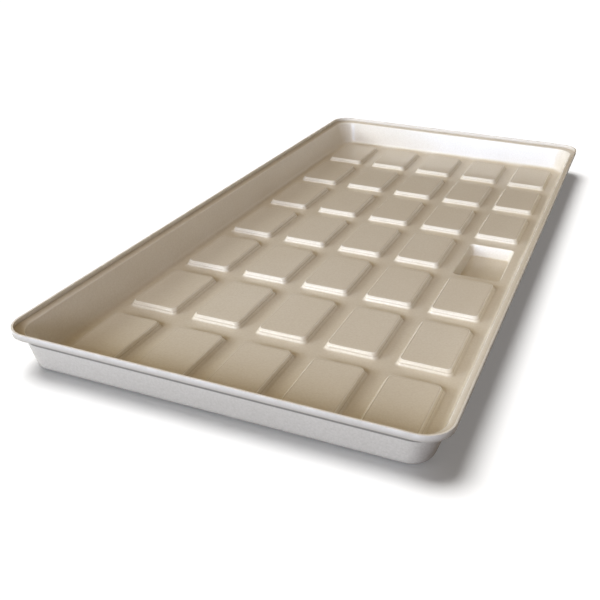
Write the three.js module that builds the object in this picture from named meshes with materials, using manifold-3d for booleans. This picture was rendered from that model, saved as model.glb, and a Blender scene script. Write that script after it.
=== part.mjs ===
// A shallow flood tray for standing plug trays in: one formed plastic sheet with a floor of
// raised pads, channels between them, a drain sump in the place of one pad and a stiff rim,
// and the hose fitting that is screwed through the sump.
//
// Millimetres, +Z up, the long side along Y. The origin is under the middle of the tray,
// level with the lower end of the hose tail.
import * as THREE from 'three';
import { mergeVertices } from 'three/addons/utils/BufferGeometryUtils.js';
import Module from 'manifold-3d';

const wasm = await Module();
wasm.setup();

// ---------------------------------------------------------------- driving dimensions

const TRAY = {
  width: 609.6,
  length: 1219.2,
  depth: 60, // floor to rim
  sheet: 2.5,
  lipHeight: 9, // ledge to rim
  ledgeWidth: 9.3,
  rimRadius: 38,
  wallHeadRadius: 36,
  wallFootRadius: 26,
  sideSlope: 15.2, // how far a long wall leans out between the floor and the ledge
  endSlope: 8.2, // the same for a short wall
  footFillet: 8,
};

const PAD = {
  columns: 5,
  rows: 7,
  pitchX: 108.9,
  pitchY: 163.8,
  height: 9,
  base: { halfX: 41.7, halfY: 65.7, radius: 8 },
  top: { halfX: 36.9, halfY: 61, radius: 7.5 },
};

const SUMP = {
  column: 2, // steps from the middle of the pad grid, so the right-hand column
  row: 0,
  depth: 21,
  opening: { halfX: 41, halfY: 70, radius: 8 },
  bottom: { halfX: 36, halfY: 65, radius: 7 },
};

const FITTING = {
  fromSumpMiddle: new THREE.Vector2(-5, -51.5),
  flangeRadius: 11.5,
  flangeThickness: 2,
  shankRadius: 8,
  boreRadius: 5,
  seatRadius: 6.6, // the recess that the strainer sits in
  seatDepth: 2.4,
  holeRadius: 8.5,
  gasketRadius: 11.4,
  gasketThickness: 1.5,
  nutAcrossFlats: 22,
  nutThickness: 5.5,
  nutChamfer: 0.6,
  tailRootRadius: 5.9,
  barbRadius: 7.2,
  barbs: 3,
  barbLength: 5.5,
  tailNeck: 1.5,
};

const STRAINER = {
  radius: 6.2,
  thickness: 1.2,
  slots: 4,
  slotWidth: 1.1,
  slotPitch: 2.2,
  knobRadius: 1.2,
  knobHeight: 3,
  skirtThickness: 0.8,
};

const CLEARANCE = 0.3; // between pieces that touch
const LARGE_CORNER_STEPS = 7; // straight steps in a quarter turn of the tray's corners
const SMALL_CORNER_STEPS = 3; // the same for a pad or the sump
const FILLET_STEPS = 3;
const ROUND_STEPS = 24; // straight steps round a turned piece

// ---------------------------------------------------------------- levels and places

const tailLength = FITTING.tailNeck + FITTING.barbs * FITTING.barbLength;
const underSump = tailLength + FITTING.nutThickness + FITTING.gasketThickness + 3 * CLEARANCE;
const sumpFloor = underSump + TRAY.sheet;
const trayFloor = sumpFloor + SUMP.depth;
const padTop = trayFloor + PAD.height;
const rimTop = trayFloor + TRAY.depth;
const ledge = rimTop - TRAY.lipHeight;
const sumpMiddle = new THREE.Vector2(SUMP.column * PAD.pitchX, SUMP.row * PAD.pitchY);
const fittingMiddle = sumpMiddle.clone().add(FITTING.fromSumpMiddle);

// ---------------------------------------------------------------- solids

/** A closed geometry as a solid that can be joined and cut. */
function toSolid(geometry) {
  const bare = geometry.clone();
  bare.deleteAttribute('normal');
  bare.deleteAttribute('uv');
  const merged = mergeVertices(bare);
  return new wasm.Manifold(new wasm.Mesh({
    numProp: 3,
    vertProperties: merged.attributes.position.array,
    triVerts: merged.index.array,
  }));
}

/** The faces of a solid as a geometry. */
function toGeometry(solid) {
  const mesh = solid.getMesh();
  const geometry = new THREE.BufferGeometry();
  geometry.setAttribute('position', new THREE.BufferAttribute(mesh.vertProperties, 3));
  geometry.setIndex(new THREE.BufferAttribute(mesh.triVerts, 1));
  geometry.computeVertexNormals();
  return geometry;
}

/** Outline of a rectangle with round corners, anticlockwise from the middle of its +X side. */
function roundedRectangle({ halfX, halfY, radius }, cornerSteps) {
  const sides = [[1, 1], [-1, 1], [-1, -1], [1, -1]];
  return sides.flatMap(([sideX, sideY], quarter) => new THREE.EllipseCurve(
    sideX * (halfX - radius),
    sideY * (halfY - radius),
    radius,
    radius,
    quarter * Math.PI / 2,
    (quarter + 1) * Math.PI / 2,
  ).getPoints(cornerSteps));
}

/** Closed solid skin through a run of rounded rectangles, each at its own height z. */
function loft(sections, cornerSteps) {
  const rings = sections.map((section) => roundedRectangle(section, cornerSteps));
  const count = rings[0].length;
  const positions = rings.flatMap(
    (ring, level) => ring.flatMap((point) => [point.x, point.y, sections[level].z]),
  );
  const index = [];
  for (let level = 0; level < rings.length - 1; level += 1) {
    for (let i = 0; i < count; i += 1) {
      const a = level * count + i;
      const b = level * count + (i + 1) % count;
      index.push(a, b, b + count, a, b + count, a + count);
    }
  }
  const lastRing = (rings.length - 1) * count;
  for (const [a, b, c] of THREE.ShapeUtils.triangulateShape(rings[0], [])) {
    index.push(a, c, b);
  }
  for (const [a, b, c] of THREE.ShapeUtils.triangulateShape(rings.at(-1), [])) {
    index.push(a + lastRing, b + lastRing, c + lastRing);
  }
  const geometry = new THREE.BufferGeometry();
  geometry.setAttribute('position', new THREE.Float32BufferAttribute(positions, 3));
  geometry.setIndex(index);
  return geometry;
}

/** A section grown outwards all round, moved up or down. */
function grown(section, by, dropped = 0) {
  return {
    halfX: section.halfX + by,
    halfY: section.halfY + by,
    radius: section.radius + by,
    z: section.z - dropped,
  };
}

/** Sections along a smooth bend that starts at one section and ends at another. */
function bend(start, corner, end, steps) {
  const sections = [];
  for (let step = 0; step <= steps; step += 1) {
    const t = step / steps;
    const mix = (key) => (1 - t) ** 2 * start[key] + 2 * t * (1 - t) * corner[key] + t ** 2 * end[key];
    sections.push({ halfX: mix('halfX'), halfY: mix('halfY'), radius: mix('radius'), z: mix('z') });
  }
  return sections;
}

/** A solid turned about the vertical axis through (x, y); the profile is [radius, z] pairs. */
function turned(profile, { x, y }) {
  const points = [...profile, profile[0]].map(([radius, z]) => new THREE.Vector2(radius, z));
  return new THREE.LatheGeometry(points, ROUND_STEPS).rotateX(Math.PI / 2).translate(x, y, 0);
}

/** An upright round bar between two heights. */
function bar(radius, low, high, { x, y }) {
  return new THREE.CylinderGeometry(radius, radius, high - low, ROUND_STEPS)
    .rotateX(Math.PI / 2)
    .translate(x, y, (low + high) / 2);
}

// ---------------------------------------------------------------- tray shell

/** The pan without its pads: up the outside, over the rim and down the inside to the floor. */
function panGeometry() {
  const rim = { halfX: TRAY.width / 2, halfY: TRAY.length / 2, radius: TRAY.rimRadius };
  const inset = TRAY.sheet + TRAY.ledgeWidth;
  const head = {
    halfX: rim.halfX - inset,
    halfY: rim.halfY - inset,
    radius: TRAY.wallHeadRadius,
    z: ledge,
  };
  const foot = {
    halfX: head.halfX - TRAY.sideSlope,
    halfY: head.halfY - TRAY.endSlope,
    radius: TRAY.wallFootRadius,
    z: trayFloor,
  };
  const upTheWall = TRAY.footFillet / (ledge - trayFloor);
  const filletTop = {
    halfX: foot.halfX + TRAY.sideSlope * upTheWall,
    halfY: foot.halfY + TRAY.endSlope * upTheWall,
    radius: foot.radius,
    z: trayFloor + TRAY.footFillet,
  };
  const filletFoot = grown(foot, -TRAY.footFillet);
  const inside = [...bend(filletFoot, foot, filletTop, FILLET_STEPS), head];

  // The sheet keeps its thickness on the leaning walls when the inside is moved down by one
  // sheet and out by a little less than one.
  const outset = 0.8 * TRAY.sheet;
  const outside = inside.map((section) => grown(section, outset, TRAY.sheet));
  const rimInside = grown({ ...rim, z: rimTop }, -TRAY.sheet);
  return loft([
    ...outside,
    { ...rim, z: ledge - TRAY.sheet },
    { ...rim, z: rimTop },
    rimInside,
    { ...rimInside, z: ledge },
    ...inside.reverse(),
  ], LARGE_CORNER_STEPS);
}

/** Where the pads stand: every place in the grid but the one the sump takes. */
function padPlaces() {
  const places = [];
  for (let row = 0; row < PAD.rows; row += 1) {
    for (let column = 0; column < PAD.columns; column += 1) {
      const place = new THREE.Vector2(column - (PAD.columns - 1) / 2, row - (PAD.rows - 1) / 2);
      if (place.x !== SUMP.column || place.y !== SUMP.row) {
        places.push(place.multiply(new THREE.Vector2(PAD.pitchX, PAD.pitchY)));
      }
    }
  }
  return places;
}

/** Adds a hollow pad to the pan at each place. */
function withPads(pan) {
  // Each pad starts inside the sheet, where its leaning sides have spread a little further.
  const root = TRAY.sheet / 2;
  const lean = (PAD.base.halfX - PAD.top.halfX) / PAD.height;
  const sections = [
    grown({ ...PAD.base, z: trayFloor }, root * lean, root),
    { ...PAD.top, z: padTop },
  ];
  const inset = 0.6 * TRAY.sheet;
  const outer = loft(sections, SMALL_CORNER_STEPS);
  const hollow = loft(
    sections.map((section) => grown(section, -inset, TRAY.sheet)),
    SMALL_CORNER_STEPS,
  );
  return padPlaces().reduce((tray, { x, y }) => {
    const raised = tray.add(toSolid(outer.clone().translate(x, y, 0)));
    return raised.subtract(toSolid(hollow.clone().translate(x, y, 0)));
  }, pan);
}

/** Sinks the sump through the floor and drills the hole for the hose fitting. */
function withSump(tray) {
  const cavity = [
    { ...SUMP.bottom, z: sumpFloor },
    { ...SUMP.opening, z: trayFloor },
  ];
  const outset = 0.8 * TRAY.sheet;
  const outside = cavity.map((section) => grown(section, outset, TRAY.sheet));
  const aboveFloor = { ...SUMP.opening, z: trayFloor + TRAY.sheet };
  const { x, y } = sumpMiddle;
  const box = toSolid(loft(outside, SMALL_CORNER_STEPS).translate(x, y, 0));
  const room = toSolid(loft([...cavity, aboveFloor], SMALL_CORNER_STEPS).translate(x, y, 0));
  const hole = toSolid(bar(FITTING.holeRadius, 0, trayFloor, fittingMiddle));
  return tray.add(box).subtract(room).subtract(hole);
}

function trayShell() {
  return toGeometry(withSump(withPads(toSolid(panGeometry()))));
}

// ---------------------------------------------------------------- drain fitting

/** Flange, threaded shank and barbed hose tail in one piece, with a bore down the middle. */
function fittingBody() {
  const flangeUnder = sumpFloor + CLEARANCE;
  const flangeTop = flangeUnder + FITTING.flangeThickness;
  const profile = [[FITTING.boreRadius, 0]];
  for (let barb = 0; barb < FITTING.barbs; barb += 1) {
    const low = barb * FITTING.barbLength;
    profile.push([FITTING.tailRootRadius, low], [FITTING.barbRadius, low + 0.8 * FITTING.barbLength]);
    profile.push([FITTING.tailRootRadius, low + 0.8 * FITTING.barbLength]);
  }
  profile.push(
    [FITTING.tailRootRadius, tailLength],
    [FITTING.shankRadius, tailLength],
    [FITTING.shankRadius, flangeUnder],
    [FITTING.flangeRadius, flangeUnder],
    [FITTING.flangeRadius, flangeTop - CLEARANCE],
    [FITTING.flangeRadius - CLEARANCE, flangeTop],
    [FITTING.seatRadius, flangeTop],
    [FITTING.seatRadius, flangeTop - FITTING.seatDepth],
    [FITTING.boreRadius, flangeTop - FITTING.seatDepth],
  );
  return turned(profile, fittingMiddle);
}

/** Rubber ring between the sump's underside and the nut. */
function gasket() {
  const top = underSump - CLEARANCE;
  const low = top - FITTING.gasketThickness;
  const inner = FITTING.shankRadius + CLEARANCE;
  return turned([
    [inner, low],
    [FITTING.gasketRadius, low],
    [FITTING.gasketRadius, top],
    [inner, top],
  ], fittingMiddle);
}

/** Six-sided nut on the shank, with its outer edges broken. */
function locknut() {
  const cornerRadius = FITTING.nutAcrossFlats / 2 / Math.cos(Math.PI / 6) - FITTING.nutChamfer;
  const hexagon = new THREE.Shape(
    Array.from({ length: 6 }, (_, corner) => new THREE.Vector2(
      cornerRadius * Math.cos(corner * Math.PI / 3),
      cornerRadius * Math.sin(corner * Math.PI / 3),
    )),
  );
  const top = underSump - FITTING.gasketThickness - 2 * CLEARANCE;
  const low = top - FITTING.nutThickness;
  const block = new THREE.ExtrudeGeometry(hexagon, {
    depth: FITTING.nutThickness - 2 * FITTING.nutChamfer,
    bevelThickness: FITTING.nutChamfer,
    bevelSize: FITTING.nutChamfer,
    bevelSegments: 1,
  }).translate(fittingMiddle.x, fittingMiddle.y, low + FITTING.nutChamfer);
  const thread = bar(FITTING.shankRadius + CLEARANCE, low - 1, top + 1, fittingMiddle);
  return toGeometry(toSolid(block).subtract(toSolid(thread)));
}

/** Slotted disc that drops into the flange's seat, with a knob to lift it by. */
function strainer() {
  const seat = sumpFloor + CLEARANCE + FITTING.flangeThickness - FITTING.seatDepth;
  const low = seat + CLEARANCE;
  const top = low + FITTING.seatDepth;
  const { x, y } = fittingMiddle;
  const inner = STRAINER.radius - STRAINER.skirtThickness;
  const cap = turned([
    [inner, low],
    [STRAINER.radius, low],
    [STRAINER.radius, top],
    [0, top],
    [0, top - STRAINER.thickness],
    [inner, top - STRAINER.thickness],
  ], fittingMiddle);
  let slotted = toSolid(cap);
  for (let slot = 0; slot < STRAINER.slots; slot += 1) {
    const offset = (slot - (STRAINER.slots - 1) / 2) * STRAINER.slotPitch;
    const length = 2 * Math.sqrt(inner ** 2 - offset ** 2) - 2 * STRAINER.skirtThickness;
    const cut = new THREE.BoxGeometry(STRAINER.slotWidth, length, 4 * STRAINER.thickness);
    slotted = slotted.subtract(toSolid(cut.translate(x + offset, y, top)));
  }
  const knob = bar(STRAINER.knobRadius, top - STRAINER.thickness, top + STRAINER.knobHeight, fittingMiddle);
  return toGeometry(slotted.add(toSolid(knob)));
}

// ---------------------------------------------------------------- the object

const creamPlastic = { color: 0xe6dfd2, roughness: 0.45, metalness: 0 };
const blackPlastic = { color: 0x1d1e20, roughness: 0.5, metalness: 0 };
const blackRubber = { color: 0x2a2a2a, roughness: 0.85, metalness: 0 };

const pieces = [
  ['tray_shell', trayShell(), creamPlastic],
  ['drain_fitting_body', fittingBody(), blackPlastic],
  ['drain_gasket', gasket(), blackRubber],
  ['drain_locknut', locknut(), blackPlastic],
  ['drain_strainer', strainer(), blackPlastic],
];

const tray = new THREE.Group();
tray.name = 'flood_tray';
for (const [name, geometry, finish] of pieces) {
  const mesh = new THREE.Mesh(geometry, new THREE.MeshStandardMaterial(finish));
  mesh.name = name;
  tray.add(mesh);
}

export default tray;
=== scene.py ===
"""Looks of the flood tray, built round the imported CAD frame.

The formed sheet is one surface: a lattice of cells, each with a raised pad or the sump, inside a
ring that climbs the walls to the ledge and the lip. A Solidify modifier gives it the sheet's
thickness. The drain fitting, gasket, nut and strainer are their own pieces.
It differs from the CAD in places: the ledge climbs 2 mm to the lip, where the CAD's is flat, the
pads have beads and a groove, the shank has a thread, and edges are rounded in their own way.
Lengths are in millimetres until a mesh is made, and in metres after that.
"""

import math
from collections import namedtuple

import bmesh
import bpy
from mathutils import Matrix, Vector


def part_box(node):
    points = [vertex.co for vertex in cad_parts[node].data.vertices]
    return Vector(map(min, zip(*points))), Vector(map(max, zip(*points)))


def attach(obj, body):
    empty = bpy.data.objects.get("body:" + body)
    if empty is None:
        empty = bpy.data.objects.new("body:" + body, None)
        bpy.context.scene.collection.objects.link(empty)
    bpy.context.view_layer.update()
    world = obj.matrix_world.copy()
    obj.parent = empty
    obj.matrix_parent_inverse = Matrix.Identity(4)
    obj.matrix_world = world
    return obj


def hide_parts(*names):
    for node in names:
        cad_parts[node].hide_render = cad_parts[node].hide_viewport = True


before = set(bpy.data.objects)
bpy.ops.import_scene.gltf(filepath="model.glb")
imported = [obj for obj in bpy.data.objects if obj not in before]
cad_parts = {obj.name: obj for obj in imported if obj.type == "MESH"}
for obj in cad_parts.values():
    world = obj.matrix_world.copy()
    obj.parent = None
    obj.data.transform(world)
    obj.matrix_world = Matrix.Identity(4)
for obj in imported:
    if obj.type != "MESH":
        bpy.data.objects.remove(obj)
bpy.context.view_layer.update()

MM = 0.001


def box_mm(node):
    """Lowest and highest corner of a CAD node, in millimetres."""
    low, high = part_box(node)
    return low / MM, high / MM


# ---------------------------------------------------------------- sizes

# These repeat part.mjs, because the frame's boxes don't give them.
SHEET = 2.5
SUMP_DEPTH = 21
PAD_HEIGHT = 9
LIP_HEIGHT = 9

SHELL_LOW, SHELL_HIGH = box_mm("tray_shell")
SUMP_FLOOR = SHELL_LOW.z + SHEET
FLOOR = SUMP_FLOOR + SUMP_DEPTH
PAD_TOP = FLOOR + PAD_HEIGHT
RIM_TOP = SHELL_HIGH.z
LEDGE = RIM_TOP - LIP_HEIGHT

BODY_LOW, BODY_HIGH = box_mm("drain_fitting_body")
DRAIN = Vector(((BODY_LOW.x + BODY_HIGH.x) / 2, (BODY_LOW.y + BODY_HIGH.y) / 2))

# ---------------------------------------------------------------- the formed sheet

Section = namedtuple("Section", "half_x half_y radius z")

# The grid, the pads, the sump and the walls repeat part.mjs too.
PITCH_X, PITCH_Y = 108.9, 163.8
COLUMNS, ROWS = range(-2, 3), range(-3, 4)
SUMP_PLACE = (2, 0)
GRID_HALF_X, GRID_HALF_Y = 266.5, 571
STRAIGHT_X, STRAIGHT_Y = 33.7, 57.7  # half lengths of a cell side's straight run

PAD_BASE = Section(41.7, 65.7, 8, FLOOR)
PAD_EDGE = Section(36.9, 61, 7.5, PAD_TOP)
SUMP_OPENING = Section(41, 70, 8, FLOOR)
SUMP_BOTTOM = Section(36, 65, 7, SUMP_FLOOR)

LEDGE_INSET = 11.8  # from the rim's outside to the wall's head
SIDE_SLOPE, END_SLOPE = 15.2, 8.2  # how far the long and the short walls lean out
WALL_HEAD = Section(SHELL_HIGH.x - LEDGE_INSET, SHELL_HIGH.y - LEDGE_INSET, 36, LEDGE)
WALL_FOOT = Section(WALL_HEAD.half_x - SIDE_SLOPE, WALL_HEAD.half_y - END_SLOPE, 26, FLOOR)
LEDGE_RISE = 2.0  # how far the ledge climbs from the wall to the lip; 0 in the CAD
LIP_FOOT = Section(SHELL_HIGH.x - SHEET, SHELL_HIGH.y - SHEET, 35.5, LEDGE + LEDGE_RISE)

SIDE_RELIEF = (  # how far each pad's side stands proud, at shares of its height: bead, groove, bead
    (0.27, 0.20), (0.35, 0.28), (0.42, 0.08), (0.47, -0.34),
    (0.52, 0.06), (0.60, 0.32), (0.70, 0.40), (0.79, 0.22),
)
TOP_GROOVE = 0.45  # depth of the fine line round each pad's top
EDGE_MARKS = [0.2, 0.6, 1.0, 0.6, 0.2]  # lighter across a bend of five sections, as wear and painted highlight
LIP_DRAFT = 0.05  # how far the lip narrows downwards, so the thickened sheet stays in the CAD box
FOOT_MARKS = [-0.06, -0.15, -0.3, -0.3, -0.15, -0.06]  # darker across a foot of six sections, as dust and painted shade

# Where each bend starts and ends: a length along the flat, and a share of the slope.
PAD_FOOT_REACH, PAD_FOOT_SHARE = 3.2, 0.2
PAD_EDGE_REACH, PAD_EDGE_SHARE = 1.2, 0.13
GROOVE_MIDDLE, GROOVE_END, GROOVE_CLEAR = 1.8, 2.4, 4  # in from the pad's edge
GROOVE_MARK, BEAD_MARK = -0.5, -0.8  # painted shade, darker in the top's groove and between the beads
SUMP_EDGE_REACH, SUMP_EDGE_SHARE = 2.2, 0.11
SUMP_FOOT_REACH, SUMP_FOOT_SHARE = 2.6, 0.13
SUMP_FOOT_MARKS = [-0.1, -0.2, -0.35, -0.2, -0.1]
HEAD_REACH, HEAD_SHARE = 1.5, 0.035
FOOT_REACH, FOOT_SHARE = 8, 0.17
WALL_MIDDLE = 0.45  # share of the way down at which a wall has one more outline
TOP_GRID_INSET, TOP_GRID_CORNER = 7, 6  # the small grid that fills a pad's top

CORNER_STEPS = 8  # straight steps in a quarter turn
SIDE_STEPS = 4  # steps along a cell side's straight run
EVEN_STOPS = [i / SIDE_STEPS for i in range(1, SIDE_STEPS)]
QUARTERS = ((1, 1), (-1, 1), (-1, -1), (1, -1))
SAME_POINT = 0.01  # points nearer than this are one point
ROUNDING_SHIFT = 0.13  # keeps points off the places where their shared key would round either way

DRAIN_HOLE = 8.5
DRAIN_HOLE_STEPS = 32
ROLLED_EDGE, ROLLED_ANGLE = 0.9, math.radians(75)  # edges sharper than this angle are rolled


def mixed(a, b, share):
    """The section that lies that share of the way from a to b."""
    return Section(*(p + (q - p) * share for p, q in zip(a, b)))


def grown(section, by):
    """The section moved outwards all round."""
    return Section(section.half_x + by, section.half_y + by, max(section.radius + by, 1.5), section.z)


def bend(start, corner, end, steps):
    """Sections along a smooth bend that leaves start heading for corner and arrives at end."""
    return [
        mixed(mixed(start, corner, i / steps), mixed(corner, end, i / steps), i / steps)
        for i in range(steps + 1)
    ]


def mixed_point(a, b, share):
    """The point that lies that share of the way from a to b."""
    return (a[0] + (b[0] - a[0]) * share, a[1] + (b[1] - a[1]) * share)


def round_outline(section, centre, x_stops, y_stops):
    """Points round a rounded rectangle, anticlockwise from the low end of its upper right corner."""
    arcs = []
    for quarter, (side_x, side_y) in enumerate(QUARTERS):
        middle_x = centre[0] + side_x * (section.half_x - section.radius)
        middle_y = centre[1] + side_y * (section.half_y - section.radius)
        turn = [(quarter + i / CORNER_STEPS) * math.pi / 2 for i in range(CORNER_STEPS + 1)]
        arcs.append([
            (middle_x + section.radius * math.cos(a), middle_y + section.radius * math.sin(a))
            for a in turn
        ])
    return with_sides(arcs, x_stops, y_stops, section.z)


def corner_run(quarter, corner, legs):
    """Points up to a square corner and away from it, as many as a rounded corner has."""
    first, last = reversed(legs) if quarter % 2 else legs
    half = CORNER_STEPS // 2
    arriving = [mixed_point(first, corner, i / half) for i in range(half)]
    leaving = [mixed_point(corner, last, i / half) for i in range(half + 1)]
    return arriving + leaving


def square_outline(centre, low, high, straight, z):
    """As many points as a round outline has, round a plain rectangle, so that the two can be joined."""
    corners = []
    for quarter, (side_x, side_y) in enumerate(QUARTERS):
        corner = (high[0] if side_x > 0 else low[0], high[1] if side_y > 0 else low[1])
        legs = [
            (corner[0], centre[1] + side_y * straight[1]),
            (centre[0] + side_x * straight[0], corner[1]),
        ]
        corners.append(corner_run(quarter, corner, legs))
    return with_sides(corners, EVEN_STOPS, EVEN_STOPS, z)


def with_sides(corners, x_stops, y_stops, z):
    """Joins four runs of corner points by points at the given stops along each straight side."""
    points = []
    for quarter, corner in enumerate(corners):
        following = corners[(quarter + 1) % 4]
        stops = y_stops if quarter % 2 else x_stops
        points += corner
        points += [mixed_point(corner[-1], following[0], stop) for stop in stops]
    return [(x, y, z) for x, y in points]


class Skin:
    """A surface under construction. Points that fall on one another are shared."""

    def __init__(self):
        self.points, self.faces, self.shared = [], [], {}
        self.rubbed, self.dust_and_painted_shade = [], []

    def put(self, points, mark=0.0):
        """Adds points and returns their numbers.

        A mark above 0 is how far an edge is made lighter, as wear and painted highlight, and one below
        0 how far a place is made darker, as dust and painted shade.
        """
        numbers = []
        for point in points:
            key = tuple(round(c / SAME_POINT + ROUNDING_SHIFT) for c in point)
            if key not in self.shared:
                self.shared[key] = len(self.points)
                self.points.append(point)
                self.rubbed.append(max(mark, 0.0))
                self.dust_and_painted_shade.append(max(-mark, 0.0))
            numbers.append(self.shared[key])
        return numbers

    def band(self, outer, inner):
        """Faces between two closed runs of points, facing up where they lie flat."""
        count = len(outer)
        for i in range(count):
            j = (i + 1) % count
            self.faces.append((outer[i], outer[j], inner[j], inner[i]))

    def mesh(self, name):
        """The surface as a Blender mesh in metres."""
        mesh = bpy.data.meshes.new(name)
        mesh.from_pydata([tuple(c * MM for c in point) for point in self.points], [], self.faces)
        mesh.attributes.new("rubbed", "FLOAT", "POINT").data.foreach_set("value", self.rubbed)
        mesh.attributes.new("dust_and_painted_shade", "FLOAT", "POINT").data.foreach_set("value", self.dust_and_painted_shade)
        mesh.update()
        return mesh


def rings(skin, outlines, marks):
    """Puts outlines from the outside in and joins each to the next; returns the innermost."""
    before = None
    for outline, mark in zip(outlines, marks):
        numbers = skin.put(outline, mark)
        if before is not None:
            skin.band(before, numbers)
        before = numbers
    return before


def pad_sections():
    """A pad's outlines from the floor round it up to the flat of its top, with each one's mark."""
    foot = bend(
        grown(PAD_BASE, PAD_FOOT_REACH), PAD_BASE, mixed(PAD_BASE, PAD_EDGE, PAD_FOOT_SHARE), 5
    )
    side = [grown(mixed(PAD_BASE, PAD_EDGE, share), proud) for share, proud in SIDE_RELIEF]
    edge = bend(
        mixed(PAD_EDGE, PAD_BASE, PAD_EDGE_SHARE), PAD_EDGE, grown(PAD_EDGE, -PAD_EDGE_REACH), 4
    )
    line = [
        grown(PAD_EDGE, -GROOVE_MIDDLE)._replace(z=PAD_TOP - TOP_GROOVE),
        grown(PAD_EDGE, -GROOVE_END),
        grown(PAD_EDGE, -GROOVE_CLEAR),
    ]
    side_marks = [BEAD_MARK if proud < 0 else 0.0 for _, proud in SIDE_RELIEF]
    marks = FOOT_MARKS + side_marks + EDGE_MARKS + [GROOVE_MARK, 0.0, 0.0]
    return foot + side + edge + line, marks


def pad_cell(skin, centre, low, high):
    """One cell of the lattice with a raised pad, its top filled with a small grid."""
    sections, marks = pad_sections()
    outlines = [square_outline(centre, low, high, (STRAIGHT_X, STRAIGHT_Y), FLOOR)]
    outlines += [round_outline(section, centre, EVEN_STOPS, EVEN_STOPS) for section in sections]
    half_x, half_y = PAD_EDGE.half_x - TOP_GRID_INSET, PAD_EDGE.half_y - TOP_GRID_INSET
    straight = (half_x - TOP_GRID_CORNER, half_y - TOP_GRID_CORNER)
    inner_low = (centre[0] - half_x, centre[1] - half_y)
    inner_high = (centre[0] + half_x, centre[1] + half_y)
    outlines.append(square_outline(centre, inner_low, inner_high, straight, PAD_TOP))
    fill_flat(skin, rings(skin, outlines, [0.0] + marks + [0.0]))


def fill_flat(skin, border):
    """Fills a rectangular border with a grid of faces."""
    side = CORNER_STEPS + SIDE_STEPS
    first = CORNER_STEPS // 2
    shifted = border[first:] + border[:first]
    top = shifted[: side + 1]
    left = shifted[side : 2 * side + 1]
    bottom = shifted[2 * side : 3 * side + 1][::-1]
    right = (shifted[3 * side :] + shifted[:1])[::-1]
    rows = [top]
    for j in range(1, side):
        y, z = skin.points[left[j]][1:]
        inside = skin.put([(skin.points[top[i]][0], y, z) for i in range(1, side)])
        rows.append([right[j], *inside, left[j]])
    rows.append(bottom)
    for upper, lower in zip(rows, rows[1:]):
        for i in range(side):
            skin.faces.append((upper[i], upper[i + 1], lower[i + 1], lower[i]))


def sump_cell(skin, centre, low, high):
    """The cell whose pad is replaced by a sump, down to the edge of the sump's flat floor."""
    edge_end = mixed(SUMP_OPENING, SUMP_BOTTOM, SUMP_EDGE_SHARE)
    edge_run = bend(grown(SUMP_OPENING, SUMP_EDGE_REACH), SUMP_OPENING, edge_end, 4)
    foot_start = mixed(SUMP_BOTTOM, SUMP_OPENING, SUMP_FOOT_SHARE)
    foot_run = bend(foot_start, SUMP_BOTTOM, grown(SUMP_BOTTOM, -SUMP_FOOT_REACH), 4)
    outlines = [square_outline(centre, low, high, (STRAIGHT_X, STRAIGHT_Y), FLOOR)]
    outlines += [
        round_outline(section, centre, EVEN_STOPS, EVEN_STOPS) for section in edge_run + foot_run
    ]
    return rings(skin, outlines, [0.0] + EDGE_MARKS + SUMP_FOOT_MARKS)


def drilled_floor(skin, border):
    """Fills the sump's flat floor round the hole for the hose fitting."""
    turns = [i / DRAIN_HOLE_STEPS * math.tau for i in range(DRAIN_HOLE_STEPS)]
    hole = skin.put([
        (DRAIN.x + DRAIN_HOLE * math.cos(a), DRAIN.y + DRAIN_HOLE * math.sin(a), SUMP_FLOOR)
        for a in turns
    ])
    flat = bpy.data.meshes.new("sump_floor")
    numbers = border + hole
    edges = [(i, (i + 1) % len(border)) for i in range(len(border))]
    edges += [
        (len(border) + i, len(border) + (i + 1) % len(hole)) for i in range(len(hole))
    ]
    flat.from_pydata([skin.points[n] for n in numbers], edges, [])
    work = bmesh.new()
    work.from_mesh(flat)
    bmesh.ops.triangle_fill(work, use_beauty=True, edges=work.edges, normal=(0, 0, 1))
    for face in work.faces:
        corners = [v.index for v in face.verts]
        if face.normal.z < 0:
            corners.reverse()
        skin.faces.append(tuple(numbers[c] for c in corners))
    work.free()
    bpy.data.meshes.remove(flat)


def cell_edges(places, pitch, half):
    """Where the lattice lines run across one axis."""
    lines = [(place - 0.5) * pitch for place in places] + [(places[-1] + 0.5) * pitch]
    lines[0], lines[-1] = -half, half
    return lines


def side_stops(places, pitch, half, straight):
    """Shares of the way along a wall's straight run at which the lattice has its points."""
    lines = cell_edges(places, pitch, half)
    marks = []
    for place, low, high in zip(places, lines, lines[1:]):
        middle = place * pitch
        legs = [
            (low, middle - straight, CORNER_STEPS // 2),
            (middle - straight, middle + straight, SIDE_STEPS),
            (middle + straight, high, CORNER_STEPS // 2),
        ]
        for start, end, steps in legs:
            marks += [start + (end - start) * i / steps for i in range(steps)]
    run = places[-1] * pitch + straight
    return [(mark + run) / (2 * run) for mark in marks if abs(mark) < run - SAME_POINT]


def wall_stops():
    """The stops along the short walls and along the long ones."""
    return (
        side_stops(COLUMNS, PITCH_X, GRID_HALF_X, STRAIGHT_X),
        side_stops(ROWS, PITCH_Y, GRID_HALF_Y, STRAIGHT_Y),
    )


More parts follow.
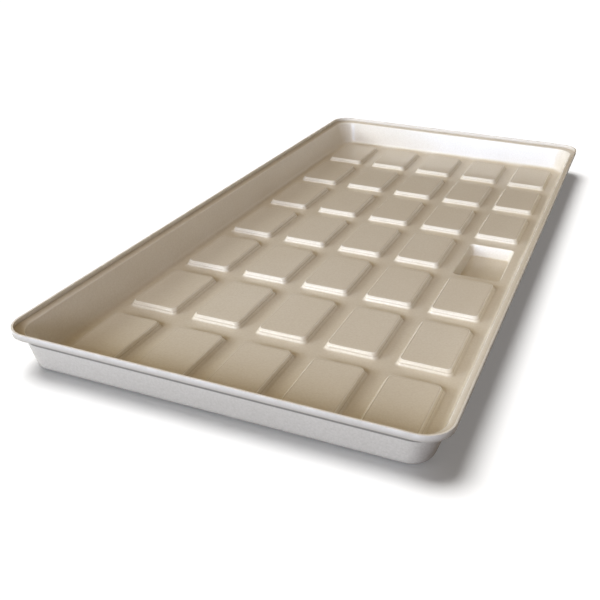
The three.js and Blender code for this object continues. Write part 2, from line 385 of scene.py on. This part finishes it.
def wall_outlines():
    """Outlines from the lip's top edge over the ledge and down the wall to the floor, with marks."""
    lip_top = LIP_FOOT._replace(z=RIM_TOP)
    lip_foot = grown(LIP_FOOT, -LIP_DRAFT)
    head_end = mixed(WALL_HEAD, WALL_FOOT, HEAD_SHARE)
    head_run = bend(grown(WALL_HEAD, HEAD_REACH), WALL_HEAD, head_end, 4)
    foot_start = mixed(WALL_FOOT, WALL_HEAD, FOOT_SHARE)
    foot_run = bend(foot_start, WALL_FOOT, grown(WALL_FOOT, -FOOT_REACH), 6)
    walls = [lip_top, lip_foot, *head_run, mixed(WALL_HEAD, WALL_FOOT, WALL_MIDDLE), *foot_run]
    # The rim's top is made lighter, as wear and a painted highlight, and the line where the lip meets
    # the ledge darker, as painted shade.
    marks = [1.0, -1.0] + EDGE_MARKS + [0.0, -0.1] + FOOT_MARKS
    return [round_outline(section, (0, 0), *wall_stops()) for section in walls], marks


def lattice_border():
    """The lattice's own outline, point by point as the walls' outlines run."""
    run_x = COLUMNS[-1] * PITCH_X + STRAIGHT_X
    run_y = ROWS[-1] * PITCH_Y + STRAIGHT_Y
    corners = []
    for quarter, (side_x, side_y) in enumerate(QUARTERS):
        corner = (side_x * GRID_HALF_X, side_y * GRID_HALF_Y)
        legs = [(corner[0], side_y * run_y), (side_x * run_x, corner[1])]
        corners.append(corner_run(quarter, corner, legs))
    return with_sides(corners, *wall_stops(), FLOOR)


def formed_sheet():
    """The tray's sheet: walls, lattice of pads and sump, thickened outwards and downwards."""
    skin = Skin()
    outlines, marks = wall_outlines()
    rings(skin, outlines + [lattice_border()], marks + [0.0])
    x_lines = cell_edges(COLUMNS, PITCH_X, GRID_HALF_X)
    y_lines = cell_edges(ROWS, PITCH_Y, GRID_HALF_Y)
    for column, x_low, x_high in zip(COLUMNS, x_lines, x_lines[1:]):
        for row, y_low, y_high in zip(ROWS, y_lines, y_lines[1:]):
            centre = (column * PITCH_X, row * PITCH_Y)
            if (column, row) == SUMP_PLACE:
                border = sump_cell(skin, centre, (x_low, y_low), (x_high, y_high))
                drilled_floor(skin, border)
            else:
                pad_cell(skin, centre, (x_low, y_low), (x_high, y_high))
    sheet = bpy.data.objects.new("formed_sheet", skin.mesh("formed_sheet"))
    bpy.context.scene.collection.objects.link(sheet)
    solid = sheet.modifiers.new("thickness", "SOLIDIFY")
    solid.thickness = SHEET * MM
    solid.offset = -1
    solid.use_even_offset = True
    solid.material_offset = 1
    edges = sheet.modifiers.new("rolled_edges", "BEVEL")
    edges.width = ROLLED_EDGE * MM
    edges.segments = 3
    edges.limit_method = "ANGLE"
    edges.angle_limit = ROLLED_ANGLE
    sheet.data.shade_smooth()
    normals = sheet.modifiers.new("even_normals", "WEIGHTED_NORMAL")
    normals.keep_sharp = True
    return sheet


# ---------------------------------------------------------------- the drain fitting

# Radii and heights that repeat part.mjs. The photograph shows none of these pieces.
TAIL_ROOT, BARB, BARB_LENGTH, BARBS = 5.9, 7.2, 5.5, 3
BORE, SHANK, SEAT, SEAT_DEPTH = 5.0, 8.0, 6.6, 2.4
FLANGE = 11.5
TAIL_TOP = 18.0
GAP = 0.3  # between pieces that touch

BARB_SLOPE = 0.8  # share of a barb's length that leans out
THREAD_PITCH, THREAD_DEPTH, THREAD_FADE = 1.8, 0.7, 0.8
THREAD_STEP = 0.22  # height between the rows that draw the thread
GASKET_RADIUS, GASKET_ROLL = 11.4, 0.45
NUT_FLAT = 11.0  # from the axis to a flat
NUT_CHAMFER = 0.9  # height of the cone that cuts the nut's corners
NUT_ROUND = 0.05  # how far the nut's sides stand inside its true hexagon
KNOB_HEIGHT, KNOB_NECK, KNOB_HEAD = 3.0, 0.85, 1.2
KNOB_AXIS = 0.02  # a turned solid's rows can't reach the axis itself
STRAINER_RADIUS, STRAINER_THICKNESS, SKIRT_WALL = 6.2, 1.2, 0.8
SKIRT_INSET, SKIRT_TOP = 0.05, 0.4  # skirt's side inside the plate's, and its top below the plate's
SLOTS, SLOT_PITCH, SLOT_HALF_WIDTH = 4, 2.2, 0.55
SLOT_CIRCLE, SLOT_MARGIN = 5.4, 1.6  # a slot's straight run ends this margin short of this circle
PLATE_ROUND = 0.12
SHARP_ANGLE = math.radians(38)  # faces that meet more sharply than this keep a crease


def turned(name, rows, steps, radius_at=None):
    """A closed solid turned about the drain's axis. Rows are (radius, z) in order round its section.

    radius_at(radius, z, angle) may change a row's radius on the way round.
    """
    skin = Skin()
    loops = []
    for radius, z in rows:
        loop = []
        for i in range(steps):
            angle = i / steps * math.tau
            r = radius_at(radius, z, angle) if radius_at else radius
            loop.append((DRAIN.x + r * math.cos(angle), DRAIN.y + r * math.sin(angle), z))
        loops.append(skin.put(loop))
    for lower, upper in zip(loops, loops[1:] + loops[:1]):
        skin.band(lower, upper)
    return placed(name, skin.mesh(name))


def placed(name, mesh):
    """An object of that mesh, smooth where its faces meet gently."""
    piece = bpy.data.objects.new(name, mesh)
    bpy.context.scene.collection.objects.link(piece)
    mesh.shade_smooth()
    mesh.set_sharp_from_angle(angle=SHARP_ANGLE)
    return piece


def fillet(corner, start, end, steps=4):
    """Rows round a corner of a turned section, from start to end."""
    made = []
    for i in range(steps + 1):
        t = i / steps
        made.append(mixed_point(mixed_point(start, corner, t), mixed_point(corner, end, t), t))
    return made


def threaded(radius, z, angle):
    """Cuts the shank's thread, which fades out under the flange and at the tail."""
    if radius != SHANK:
        return radius
    turn = (z / THREAD_PITCH - angle / math.tau) % 1
    groove = 1 - abs(2 * turn - 1)
    ends = min(1.0, (z - TAIL_TOP) / THREAD_FADE, (SUMP_FLOOR - 1 - z) / THREAD_FADE)
    return radius - THREAD_DEPTH * groove * max(ends, 0.0)


def fitting_body():
    """Flange, threaded shank and barbed hose tail with a bore down the middle."""
    under = SUMP_FLOOR + GAP
    top = BODY_HIGH.z
    seat = top - SEAT_DEPTH
    rows = fillet((BORE, 0), (BORE, 0.5), (BORE + 0.4, 0), 3)
    for barb in range(BARBS):
        low = barb * BARB_LENGTH
        high = low + BARB_SLOPE * BARB_LENGTH
        rows += [(TAIL_ROOT, low), (BARB - 0.15, high - 0.5)]
        rows += fillet((BARB, high), (BARB - 0.05, high - 0.3), (BARB - 0.3, high), 3)
        rows += [(TAIL_ROOT + 0.2, high), (TAIL_ROOT, high + 0.2)]
    rows += [(TAIL_ROOT, TAIL_TOP - 0.2), (TAIL_ROOT + 0.2, TAIL_TOP), (SHANK - 0.3, TAIL_TOP)]
    steps = round((under - TAIL_TOP - 0.1) / THREAD_STEP)
    rows += [
        (SHANK, TAIL_TOP + 0.1 + i * (under - TAIL_TOP - 0.1) / steps) for i in range(steps + 1)
    ]
    rows += fillet((FLANGE, under), (FLANGE - 0.3, under), (FLANGE, under + 0.3), 2)
    rows += fillet((FLANGE, top), (FLANGE, top - 0.8), (FLANGE - 0.8, top), 5)
    rows += fillet((SEAT, top), (SEAT + 0.3, top), (SEAT, top - 0.3), 3)
    rows += [(SEAT, seat + 0.1), (SEAT - 0.1, seat)]
    rows += fillet((BORE, seat), (BORE + 0.2, seat), (BORE, seat - 0.2), 2)
    return turned("drain_fitting", rows, 72, threaded)


def gasket_ring():
    """Rubber ring with rolled edges between the sump's underside and the nut."""
    low, high = (corner.z for corner in box_mm("drain_gasket"))
    inner, outer, roll = SHANK + GAP, GASKET_RADIUS, GASKET_ROLL
    rows = fillet((inner, low), (inner, low + roll), (inner + roll, low))
    rows += fillet((outer, low), (outer - roll, low), (outer, low + roll))
    rows += fillet((outer, high), (outer, high - roll), (outer - roll, high))
    rows += fillet((inner, high), (inner + roll, high), (inner, high - roll))
    return turned("drain_gasket_ring", rows, 64)


def lock_nut():
    """Hexagonal nut whose corners are chamfered by a cone, top and bottom."""
    low, high = (corner.z for corner in box_mm("drain_locknut"))
    flat, inner = NUT_FLAT, SHANK + GAP
    corner = flat / math.cos(math.pi / 6)

    def hexagon(radius, _z, angle):
        """Holds a row outside the bore to the hexagon's sides."""
        if radius <= inner + 0.6:
            return radius
        off_middle = (angle + math.pi / 6) % (math.pi / 3) - math.pi / 6
        side = flat / math.cos(off_middle - math.copysign(math.pi / 6, off_middle))
        return min(side - NUT_ROUND, radius)

    start = flat - 0.3
    chamfer = [(start + i * (corner - flat + 0.3) / 5, i / 5 * NUT_CHAMFER) for i in range(6)]
    rows = fillet((inner, low), (inner, low + 0.5), (inner + 0.5, low), 3)
    rows += [(r, low + rise) for r, rise in chamfer]
    rows += [(corner + 0.1, low + 1.2), (corner + 0.1, high - 1.2)]
    rows += [(r, high - rise) for r, rise in reversed(chamfer)]
    rows += fillet((inner, high), (inner + 0.5, high), (inner, high - 0.5), 3)
    return turned("drain_lock_nut", rows, 144, hexagon)


def arc_points(radius, steps, whole, count):
    """Points on a circle about the origin, each a step of the whole angle further round."""
    turns = [i / steps * whole for i in range(count)]
    return [(radius * math.cos(turn), radius * math.sin(turn)) for turn in turns]


def slot_outline(slot):
    """A long slot with round ends, its number counted across the plate."""
    offset = (slot - (SLOTS - 1) / 2) * SLOT_PITCH
    reach = math.sqrt(SLOT_CIRCLE**2 - offset**2) - SLOT_MARGIN
    ends = arc_points(SLOT_HALF_WIDTH, 8, math.pi, 9)
    far = [(offset + x, reach + y) for x, y in ends]
    near = [(offset - x, -reach - y) for x, y in ends]
    return far + near


def strainer_plate(top):
    """A round plate with long slots, from a flat curve filled between its outlines."""
    curve = bpy.data.curves.new("strainer_plate", "CURVE")
    curve.dimensions = "2D"
    curve.fill_mode = "BOTH"
    outlines = [arc_points(STRAINER_RADIUS, 64, math.tau, 64)]
    outlines += [slot_outline(slot) for slot in range(SLOTS)]
    for outline in outlines:
        spline = curve.splines.new("POLY")
        spline.points.add(len(outline) - 1)
        for point, (x, y) in zip(spline.points, outline):
            point.co = (x * MM, y * MM, 0, 1)
        spline.use_cyclic_u = True
    curve.bevel_depth = PLATE_ROUND * MM
    curve.bevel_resolution = 2
    curve.offset = -PLATE_ROUND * MM
    curve.extrude = (STRAINER_THICKNESS / 2 - PLATE_ROUND) * MM
    plate = bpy.data.objects.new("strainer_plate", curve)
    bpy.context.scene.collection.objects.link(plate)
    plate.location = (DRAIN.x * MM, DRAIN.y * MM, (top - STRAINER_THICKNESS / 2) * MM)
    return as_mesh(plate)


def as_mesh(piece):
    """The piece replaced by a plain mesh of itself, with its place and modifiers worked in."""
    bpy.context.view_layer.update()
    shown = piece.evaluated_get(bpy.context.evaluated_depsgraph_get())
    mesh = bpy.data.meshes.new_from_object(shown)
    mesh.transform(piece.matrix_world)
    made = bpy.data.objects.new(piece.name, mesh)
    bpy.context.scene.collection.objects.link(made)
    bpy.data.objects.remove(piece)
    return made


def merge_near_points(mesh, reach):
    """Points a join left almost on top of each other become one."""
    shape = bmesh.new()
    shape.from_mesh(mesh)
    bmesh.ops.remove_doubles(shape, verts=shape.verts, dist=reach)
    bmesh.ops.dissolve_degenerate(shape, edges=shape.edges, dist=reach)
    shape.to_mesh(mesh)
    shape.free()


def strainer_skirt(low, top):
    """The ring under the plate that drops into the flange's seat."""
    inner, outer = STRAINER_RADIUS - SKIRT_WALL, STRAINER_RADIUS - SKIRT_INSET
    upper = top - SKIRT_TOP
    rows = [(inner, low), (outer, low), (outer, upper), (inner, upper)]
    return turned("strainer_skirt", rows, 64)


def strainer_knob(top, high):
    """A small knob on a neck that starts inside the plate."""
    rows = [(KNOB_AXIS, top - 0.6), (KNOB_NECK, top - 0.6), (KNOB_NECK, top + 0.6)]
    rows += fillet((KNOB_HEAD, top + 0.9), (KNOB_NECK, top + 0.9), (KNOB_HEAD, top + 1.3), 4)
    rows += fillet((KNOB_HEAD, high), (KNOB_HEAD, high - 0.9), (0.3, high), 6)
    rows.append((KNOB_AXIS, high))
    return turned("strainer_knob", rows, 32)


def strainer():
    """Slotted disc with a skirt below and a knob to lift it by, joined into one solid."""
    low, high = (corner.z for corner in box_mm("drain_strainer"))
    top = high - KNOB_HEIGHT
    plate = strainer_plate(top)
    skirt = strainer_skirt(low, top)
    knob = strainer_knob(top, high)
    for part in (skirt, knob):
        join = plate.modifiers.new(part.name, "BOOLEAN")
        join.operation = "UNION"
        join.solver = "EXACT"
        join.object = part
    whole = as_mesh(plate)
    for part in (skirt, knob):
        bpy.data.objects.remove(part)
    merge_near_points(whole.data, SAME_POINT * MM)
    whole.name = whole.data.name = "drain_strainer_cap"
    whole.data.shade_smooth()
    whole.data.set_sharp_from_angle(angle=SHARP_ANGLE)
    return whole


# ---------------------------------------------------------------- materials


class Nodes:
    """A material's node tree, with short ways to add what the finishes here share."""

    def __init__(self, name):
        self.material = bpy.data.materials.new(name)
        self.material.use_nodes = True
        self.tree = self.material.node_tree
        self.surface = self.tree.nodes["Principled BSDF"]
        self.place = self.tree.nodes.new("ShaderNodeTexCoord").outputs["Object"]

    def link(self, source, target):
        """Joins an output to an input."""
        self.tree.links.new(source, target)

    def noise(self, scale, detail=2.0, roughness=0.5, stretch=(1, 1, 1), turn=0.0):
        """Noise in the object's own coordinates, scale in waves per metre."""
        mapping = self.tree.nodes.new("ShaderNodeMapping")
        mapping.inputs["Scale"].default_value = stretch
        mapping.inputs["Rotation"].default_value = (0, 0, turn)
        self.link(self.place, mapping.inputs["Vector"])
        node = self.tree.nodes.new("ShaderNodeTexNoise")
        node.inputs["Scale"].default_value = scale
        node.inputs["Detail"].default_value = detail
        node.inputs["Roughness"].default_value = roughness
        self.link(mapping.outputs["Vector"], node.inputs["Vector"])
        return node.outputs["Fac"]

    def mark(self, name):
        """One of the marks that the mesh carries."""
        node = self.tree.nodes.new("ShaderNodeAttribute")
        node.attribute_name = name
        return node.outputs["Fac"]

    def spread(self, source, low, high, to_low=0.0, to_high=1.0):
        """Source stretched from low..high to a new range, and held to it."""
        node = self.tree.nodes.new("ShaderNodeMapRange")
        settings = {"From Min": low, "From Max": high, "To Min": to_low, "To Max": to_high}
        for key, value in settings.items():
            node.inputs[key].default_value = value
        self.link(source, node.inputs["Value"])
        return node.outputs["Result"]

    def combine(self, kind, a, b):
        """Two values joined by a kind of sum, such as ADD or MULTIPLY; either may be a plain number."""
        node = self.tree.nodes.new("ShaderNodeMath")
        node.operation = kind
        for socket, value in zip(node.inputs, (a, b)):
            if isinstance(value, (int, float)):
                socket.default_value = value
            else:
                self.link(value, socket)
        return node.outputs["Value"]

    def tint(self, share, first, second):
        """Colour from first to second by a share; first may be another colour's socket."""
        node = self.tree.nodes.new("ShaderNodeMix")
        node.data_type = "RGBA"
        self.link(share, node.inputs["Factor"])
        for key, value in (("A", first), ("B", second)):
            socket = next(i for i in node.inputs if i.name == key and i.type == "RGBA")
            if isinstance(value, tuple):
                socket.default_value = (*value, 1)
            else:
                self.link(value, socket)
        return next(o for o in node.outputs if o.type == "RGBA")

    def bump(self, height, depth_mm, below=None):
        """A bump of that depth laid over another."""
        node = self.tree.nodes.new("ShaderNodeBump")
        node.inputs["Strength"].default_value = 1.0
        node.inputs["Distance"].default_value = depth_mm * MM
        self.link(height, node.inputs["Height"])
        if below is not None:
            self.link(below, node.inputs["Normal"])
        return node.outputs["Normal"]


def sheet_finish(made, colour, deeper, speck, dust_and_shade_colour, rub, roughness, grain_mm):
    """Formed plastic: mould grain, slow ripples, faint scuffs, edges lightened as wear and painted
    highlight, hollows darkened as dust and painted shade.
    """
    slow = made.noise(6, 3)
    grain = made.noise(330, 3, 0.65)
    blotch = made.noise(45, 4, 0.6)
    scuff = made.spread(made.noise(40, 3, 0.6, (1, 0.15, 1), 0.3), 0.55, 0.85)
    colour_now = made.tint(made.spread(slow, 0.3, 0.7), colour, deeper)
    colour_now = made.tint(made.spread(grain, 0.35, 0.75, 0.0, 0.5), colour_now, speck)
    # Darker at the marked feet and hollows: painted shade in the pads' grooves and where the lip meets
    # the ledge, dust and painted shade at the feet.
    dust_and_shade = made.combine("MULTIPLY", made.mark("dust_and_painted_shade"), made.spread(blotch, 0.3, 0.65, 0.5, 0.9))
    colour_now = made.tint(dust_and_shade, colour_now, dust_and_shade_colour)
    # Lighter at the marked edges, as wear and as a painted highlight, most of all along the rim's top.
    wear_and_highlight = made.combine("MULTIPLY", made.mark("rubbed"), made.spread(blotch, 0.35, 0.65, 0.4, 0.8))
    colour_now = made.tint(wear_and_highlight, colour_now, rub)
    made.link(colour_now, made.surface.inputs["Base Color"])
    rough = made.spread(slow, 0.3, 0.7, roughness - 0.03, roughness + 0.04)
    rough = made.combine("ADD", rough, made.combine("MULTIPLY", scuff, 0.05))
    rough = made.combine("ADD", rough, made.combine("MULTIPLY", made.combine("ADD", dust_and_shade, wear_and_highlight), 0.1))
    made.link(rough, made.surface.inputs["Roughness"])
    normal = made.bump(made.noise(9, 1), 0.8)
    normal = made.bump(grain, grain_mm, normal)
    made.link(normal, made.surface.inputs["Normal"])
    made.surface.inputs["IOR"].default_value = 1.5
    return colour_now


def tray_plastic():
    """The inside: cream, smooth and slightly glossy."""
    made = Nodes("cream_formed_plastic")
    sheet_finish(
        made,
        colour=(0.81, 0.775, 0.70),
        deeper=(0.775, 0.73, 0.645),
        speck=(0.66, 0.60, 0.51),
        dust_and_shade_colour=(0.45, 0.385, 0.30),
        rub=(0.93, 0.92, 0.88),
        roughness=0.19,
        grain_mm=0.004,
    )
    return made.material


SHADE_FOOT, SHADE_FULL, SHADE_FADE = 9.4, 8.2, 0.5  # the band of painted shade, below the ledge's underside at the wall
SHADE_COLOUR = (0.10, 0.09, 0.075)


def outer_plastic():
    """The sheet's outer face: duller and grainier, as the photograph's front wall looks.
    Its colour is the cream of the inside painted darker, as shade on the outer wall.

    A dark band at a fixed height on the wall is painted shade under the lip.
    """
    made = Nodes("outer_plastic_painted_darker")
    colour_now = sheet_finish(
        made,
        colour=(0.51, 0.475, 0.42),
        deeper=(0.475, 0.44, 0.385),
        speck=(0.34, 0.305, 0.25),
        dust_and_shade_colour=(0.30, 0.265, 0.215),
        rub=(0.74, 0.71, 0.66),
        roughness=0.46,
        grain_mm=0.03,
    )
    split = made.tree.nodes.new("ShaderNodeSeparateXYZ")
    made.link(made.place, split.inputs["Vector"])
    under_ledge = (LEDGE - SHEET) * MM
    height = split.outputs["Z"]
    painted_shade = made.combine(
        "MULTIPLY",
        made.spread(height, under_ledge - SHADE_FOOT * MM, under_ledge - SHADE_FULL * MM),
        made.spread(height, under_ledge - SHADE_FADE * MM, under_ledge, 0.8, 0.0),
    )
    made.link(made.tint(painted_shade, colour_now, SHADE_COLOUR), made.surface.inputs["Base Color"])
    return made.material


def black_plastic():
    """Black moulded plastic with a fine grain, greyed in blotches."""
    made = Nodes("black_moulded_plastic")
    grain = made.noise(1500, 3, 0.6)
    blotch = made.noise(260, 3)
    fresh, greyed, fleck = (0.013, 0.013, 0.014), (0.028, 0.028, 0.03), (0.06, 0.06, 0.062)
    colour_now = made.tint(made.spread(blotch, 0.3, 0.7), fresh, greyed)
    colour_now = made.tint(made.spread(grain, 0.6, 0.8, 0.0, 0.4), colour_now, fleck)
    made.link(colour_now, made.surface.inputs["Base Color"])
    made.link(made.spread(blotch, 0.3, 0.7, 0.36, 0.52), made.surface.inputs["Roughness"])
    made.link(made.bump(grain, 0.02), made.surface.inputs["Normal"])
    return made.material


def gasket_rubber():
    """Black rubber with a pale bloom and a matte skin."""
    made = Nodes("black_gasket_rubber")
    bloom = made.noise(340, 4, 0.65)
    skin = made.noise(2200, 2)
    made.link(
        made.tint(made.spread(bloom, 0.4, 0.75), (0.02, 0.02, 0.02), (0.075, 0.073, 0.07)),
        made.surface.inputs["Base Color"],
    )
    made.link(made.spread(bloom, 0.3, 0.7, 0.72, 0.9), made.surface.inputs["Roughness"])
    made.link(made.bump(skin, 0.015), made.surface.inputs["Normal"])
    return made.material


# ---------------------------------------------------------------- stage, light and camera

STAGE_REACH = 9.0  # metres from the middle to the floor's sides and to the backdrop
FLOOR_CLEARANCE = 0.5  # millimetres between the floor and the tray's underside
FLOOR_HOLE = (0.05, 0.08)  # half sizes in metres
BACKDROP_LOW, BACKDROP_HIGH, BACKDROP_STEPS = -1.0, 6.0, 64  # heights in metres
WORLD_COLOUR = (0.137, 0.102, 0.07)
CAMERA_PLACE = (0.4326, -1.2791, 0.5737)  # metres, with the height taken from the pads' tops


def pale_stage(name, glow, glow_colour):
    """Plain pale material for the floor and the backdrop. Glow stands in for light off the studio."""
    made = Nodes(name)
    made.surface.inputs["Base Color"].default_value = (0.9, 0.9, 0.9, 1)
    made.surface.inputs["Roughness"].default_value = 0.9
    made.surface.inputs["Specular IOR Level"].default_value = 0.1
    made.surface.inputs["Emission Color"].default_value = (*glow_colour, 1)
    made.surface.inputs["Emission Strength"].default_value = glow
    return made.material


def staged(name, points, faces, material):
    """An object that isn't part of the tray and throws no diffuse light on it."""
    mesh = bpy.data.meshes.new(name)
    mesh.from_pydata(points, [], faces)
    mesh.materials.append(material)
    piece = bpy.data.objects.new(name, mesh)
    bpy.context.scene.collection.objects.link(piece)
    piece.visible_diffuse = False
    return piece


def stage_floor():
    """A pale floor just under the tray, open where the sump and the hose tail go through."""
    top = (FLOOR - SHEET - FLOOR_CLEARANCE) * MM
    hole_x, hole_y = FLOOR_HOLE
    middle_x = SUMP_PLACE[0] * PITCH_X * MM
    xs = [-STAGE_REACH, middle_x - hole_x, middle_x + hole_x, STAGE_REACH]
    ys = [-STAGE_REACH, -hole_y, hole_y, STAGE_REACH]
    points = [(x, y, top) for y in ys for x in xs]
    faces = [
        (j * 4 + i, j * 4 + i + 1, j * 4 + i + 5, j * 4 + i + 4)
        for j in range(3)
        for i in range(3)
        if (i, j) != (1, 1)
    ]
    return staged("stage_floor", points, faces, pale_stage("pale_floor", 0.14, (0.8, 0.9, 1.0)))


def stage_wall():
    """A round white backdrop far out all round the tray, seen by the camera alone."""
    steps = BACKDROP_STEPS
    turns = [i / steps * math.tau for i in range(steps)]
    points = [
        (STAGE_REACH * math.cos(turn), STAGE_REACH * math.sin(turn), z)
        for z in (BACKDROP_LOW, BACKDROP_HIGH)
        for turn in turns
    ]
    faces = [
        ((i + 1) % steps, i, i + steps, (i + 1) % steps + steps) for i in range(steps)
    ]
    wall = staged("stage_wall", points, faces, pale_stage("pale_wall", 0.9, (1, 1, 1)))
    wall.visible_glossy = wall.visible_shadow = False


SMALL, WIDE, LARGE, SQUARE = (0.85, 0.6), (2.0, 0.8), (1.8, 1.2), (1.5, 1.5)  # metres
# Each has a name, azimuth, elevation, distance in metres, size, power in watts and colour.
SOFT_BOXES = (
    ("front_low", -8, 6, 6, LARGE, 104, (0.46, 0.64, 1.0)),
    ("front_high", -19, 28, 6, LARGE, 98, (1.0, 0.99, 0.96)),
    ("front_left", -50, 20, 6, LARGE, 94, (0.95, 0.98, 1.0)),
    ("near_wide", -18, 15, 3, WIDE, 11.5, (0.67, 0.78, 1.0)),
    ("near_left", -38, 15, 3, SMALL, 18, (0.74, 0.85, 1.0)),
    ("near_right", 8, 15, 3, SMALL, 19.5, (0.88, 0.89, 1.0)),
    ("side_warm", -75, 28, 3, SMALL, 6, (1.0, 0.72, 0.1)),
    ("side_low", -88, 12, 3, SMALL, 10, (0.95, 0.97, 1.0)),
    ("back_right", 150, 12, 3, (1.6, 0.8), 3.5, (1.0, 1.0, 1.0)),
    ("right_side", 112, 22, 3, SMALL, 2.5, (1.0, 0.98, 0.94)),
    ("top", 0, 89, 3, SQUARE, 13.5, (1.0, 0.76, 0.42)),
)


def floor_lamp(floor):
    """A soft distant lamp, high on the left, that lights only the floor and casts the tray's shadow."""
    data = bpy.data.lights.new("floor_lamp", "SUN")
    data.energy = 3.3
    data.angle = math.radians(34)
    lamp = bpy.data.objects.new("floor_lamp", data)
    bpy.context.scene.collection.objects.link(lamp)
    aim(lamp, -106, 67)
    lit = bpy.data.collections.new("lit_by_floor_lamp")
    lit.objects.link(floor)
    lamp.light_linking.receiver_collection = lit


def aim(light, azimuth, elevation):
    """Turns a light to face the tray from there, and returns the direction it stands in.

    Azimuth 0 is the camera's end of the tray, and 90 is its right-hand side.
    """
    a, e = math.radians(azimuth), math.radians(elevation)
    towards = Vector((math.sin(a) * math.cos(e), -math.cos(a) * math.cos(e), math.sin(e)))
    light.rotation_mode = "QUATERNION"
    light.rotation_quaternion = towards.to_track_quat("Z", "Y")
    return towards


def soft_box(spared, name, azimuth, elevation, distance, size, power, colour):
    """A rectangular area light on the tray, which leaves the spared collection unlit."""
    data = bpy.data.lights.new(name, "AREA")
    data.shape = "RECTANGLE"
    data.size, data.size_y = size
    data.energy = power
    data.color = colour
    light = bpy.data.objects.new(name, data)
    bpy.context.scene.collection.objects.link(light)
    light.location = aim(light, azimuth, elevation) * distance + Vector((0, 0, FLOOR * MM))
    light.visible_camera = False
    light.light_linking.receiver_collection = spared


def light_tray(floor):
    """Puts up the soft boxes, most of them round the camera's end of the tray, and spares the floor."""
    spared = bpy.data.collections.new("spared_by_soft_boxes")
    spared.objects.link(floor)
    spared.collection_objects[0].light_linking.link_state = "EXCLUDE"
    for settings in SOFT_BOXES:
        soft_box(spared, *settings)


def photo_camera():
    """The camera at the photograph's viewing angle."""
    data = bpy.data.cameras.new("photo_camera")
    data.sensor_width = 36
    data.lens = 46.74
    data.shift_x, data.shift_y = -0.0859, 0.0044
    camera = bpy.data.objects.new("photo_camera", data)
    bpy.context.scene.collection.objects.link(camera)
    swing, tilt_down, roll = 20.03, 27.86, 1.76
    turn = (
        Matrix.Rotation(math.radians(swing), 4, "Z")
        @ Matrix.Rotation(math.radians(90 - tilt_down), 4, "X")
        @ Matrix.Rotation(math.radians(roll), 4, "Z")
    )
    x, y, above_pads = CAMERA_PLACE
    camera.matrix_world = Matrix.Translation((x, y, above_pads + PAD_TOP * MM)) @ turn
    bpy.context.scene.camera = camera


# ---------------------------------------------------------------- the scene

sheet = formed_sheet()
sheet.data.materials.append(tray_plastic())
sheet.data.materials.append(outer_plastic())
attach(sheet, "tray")
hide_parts("tray_shell")

black = black_plastic()
for piece, node, body, material, material_slot in (
    (fitting_body(), "drain_fitting_body", "tray", black, "fitting_plastic"),
    (gasket_ring(), "drain_gasket", "tray", gasket_rubber(), "gasket_rubber"),
    (lock_nut(), "drain_locknut", "tray", black, "fitting_plastic"),
    (strainer(), "drain_strainer", "strainer", black, "fitting_plastic"),
):
    piece.data.materials.clear()
    piece.data.materials.append(material)
    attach(piece, body)
    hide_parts(node)

floor = stage_floor()
stage_wall()
floor_lamp(floor)
light_tray(floor)
photo_camera()
bpy.context.scene.view_settings.view_transform = "Standard"

world = bpy.data.worlds.new("studio")
world.use_nodes = True
world.node_tree.nodes["Background"].inputs["Color"].default_value = (*WORLD_COLOUR, 1)
bpy.context.scene.world = world
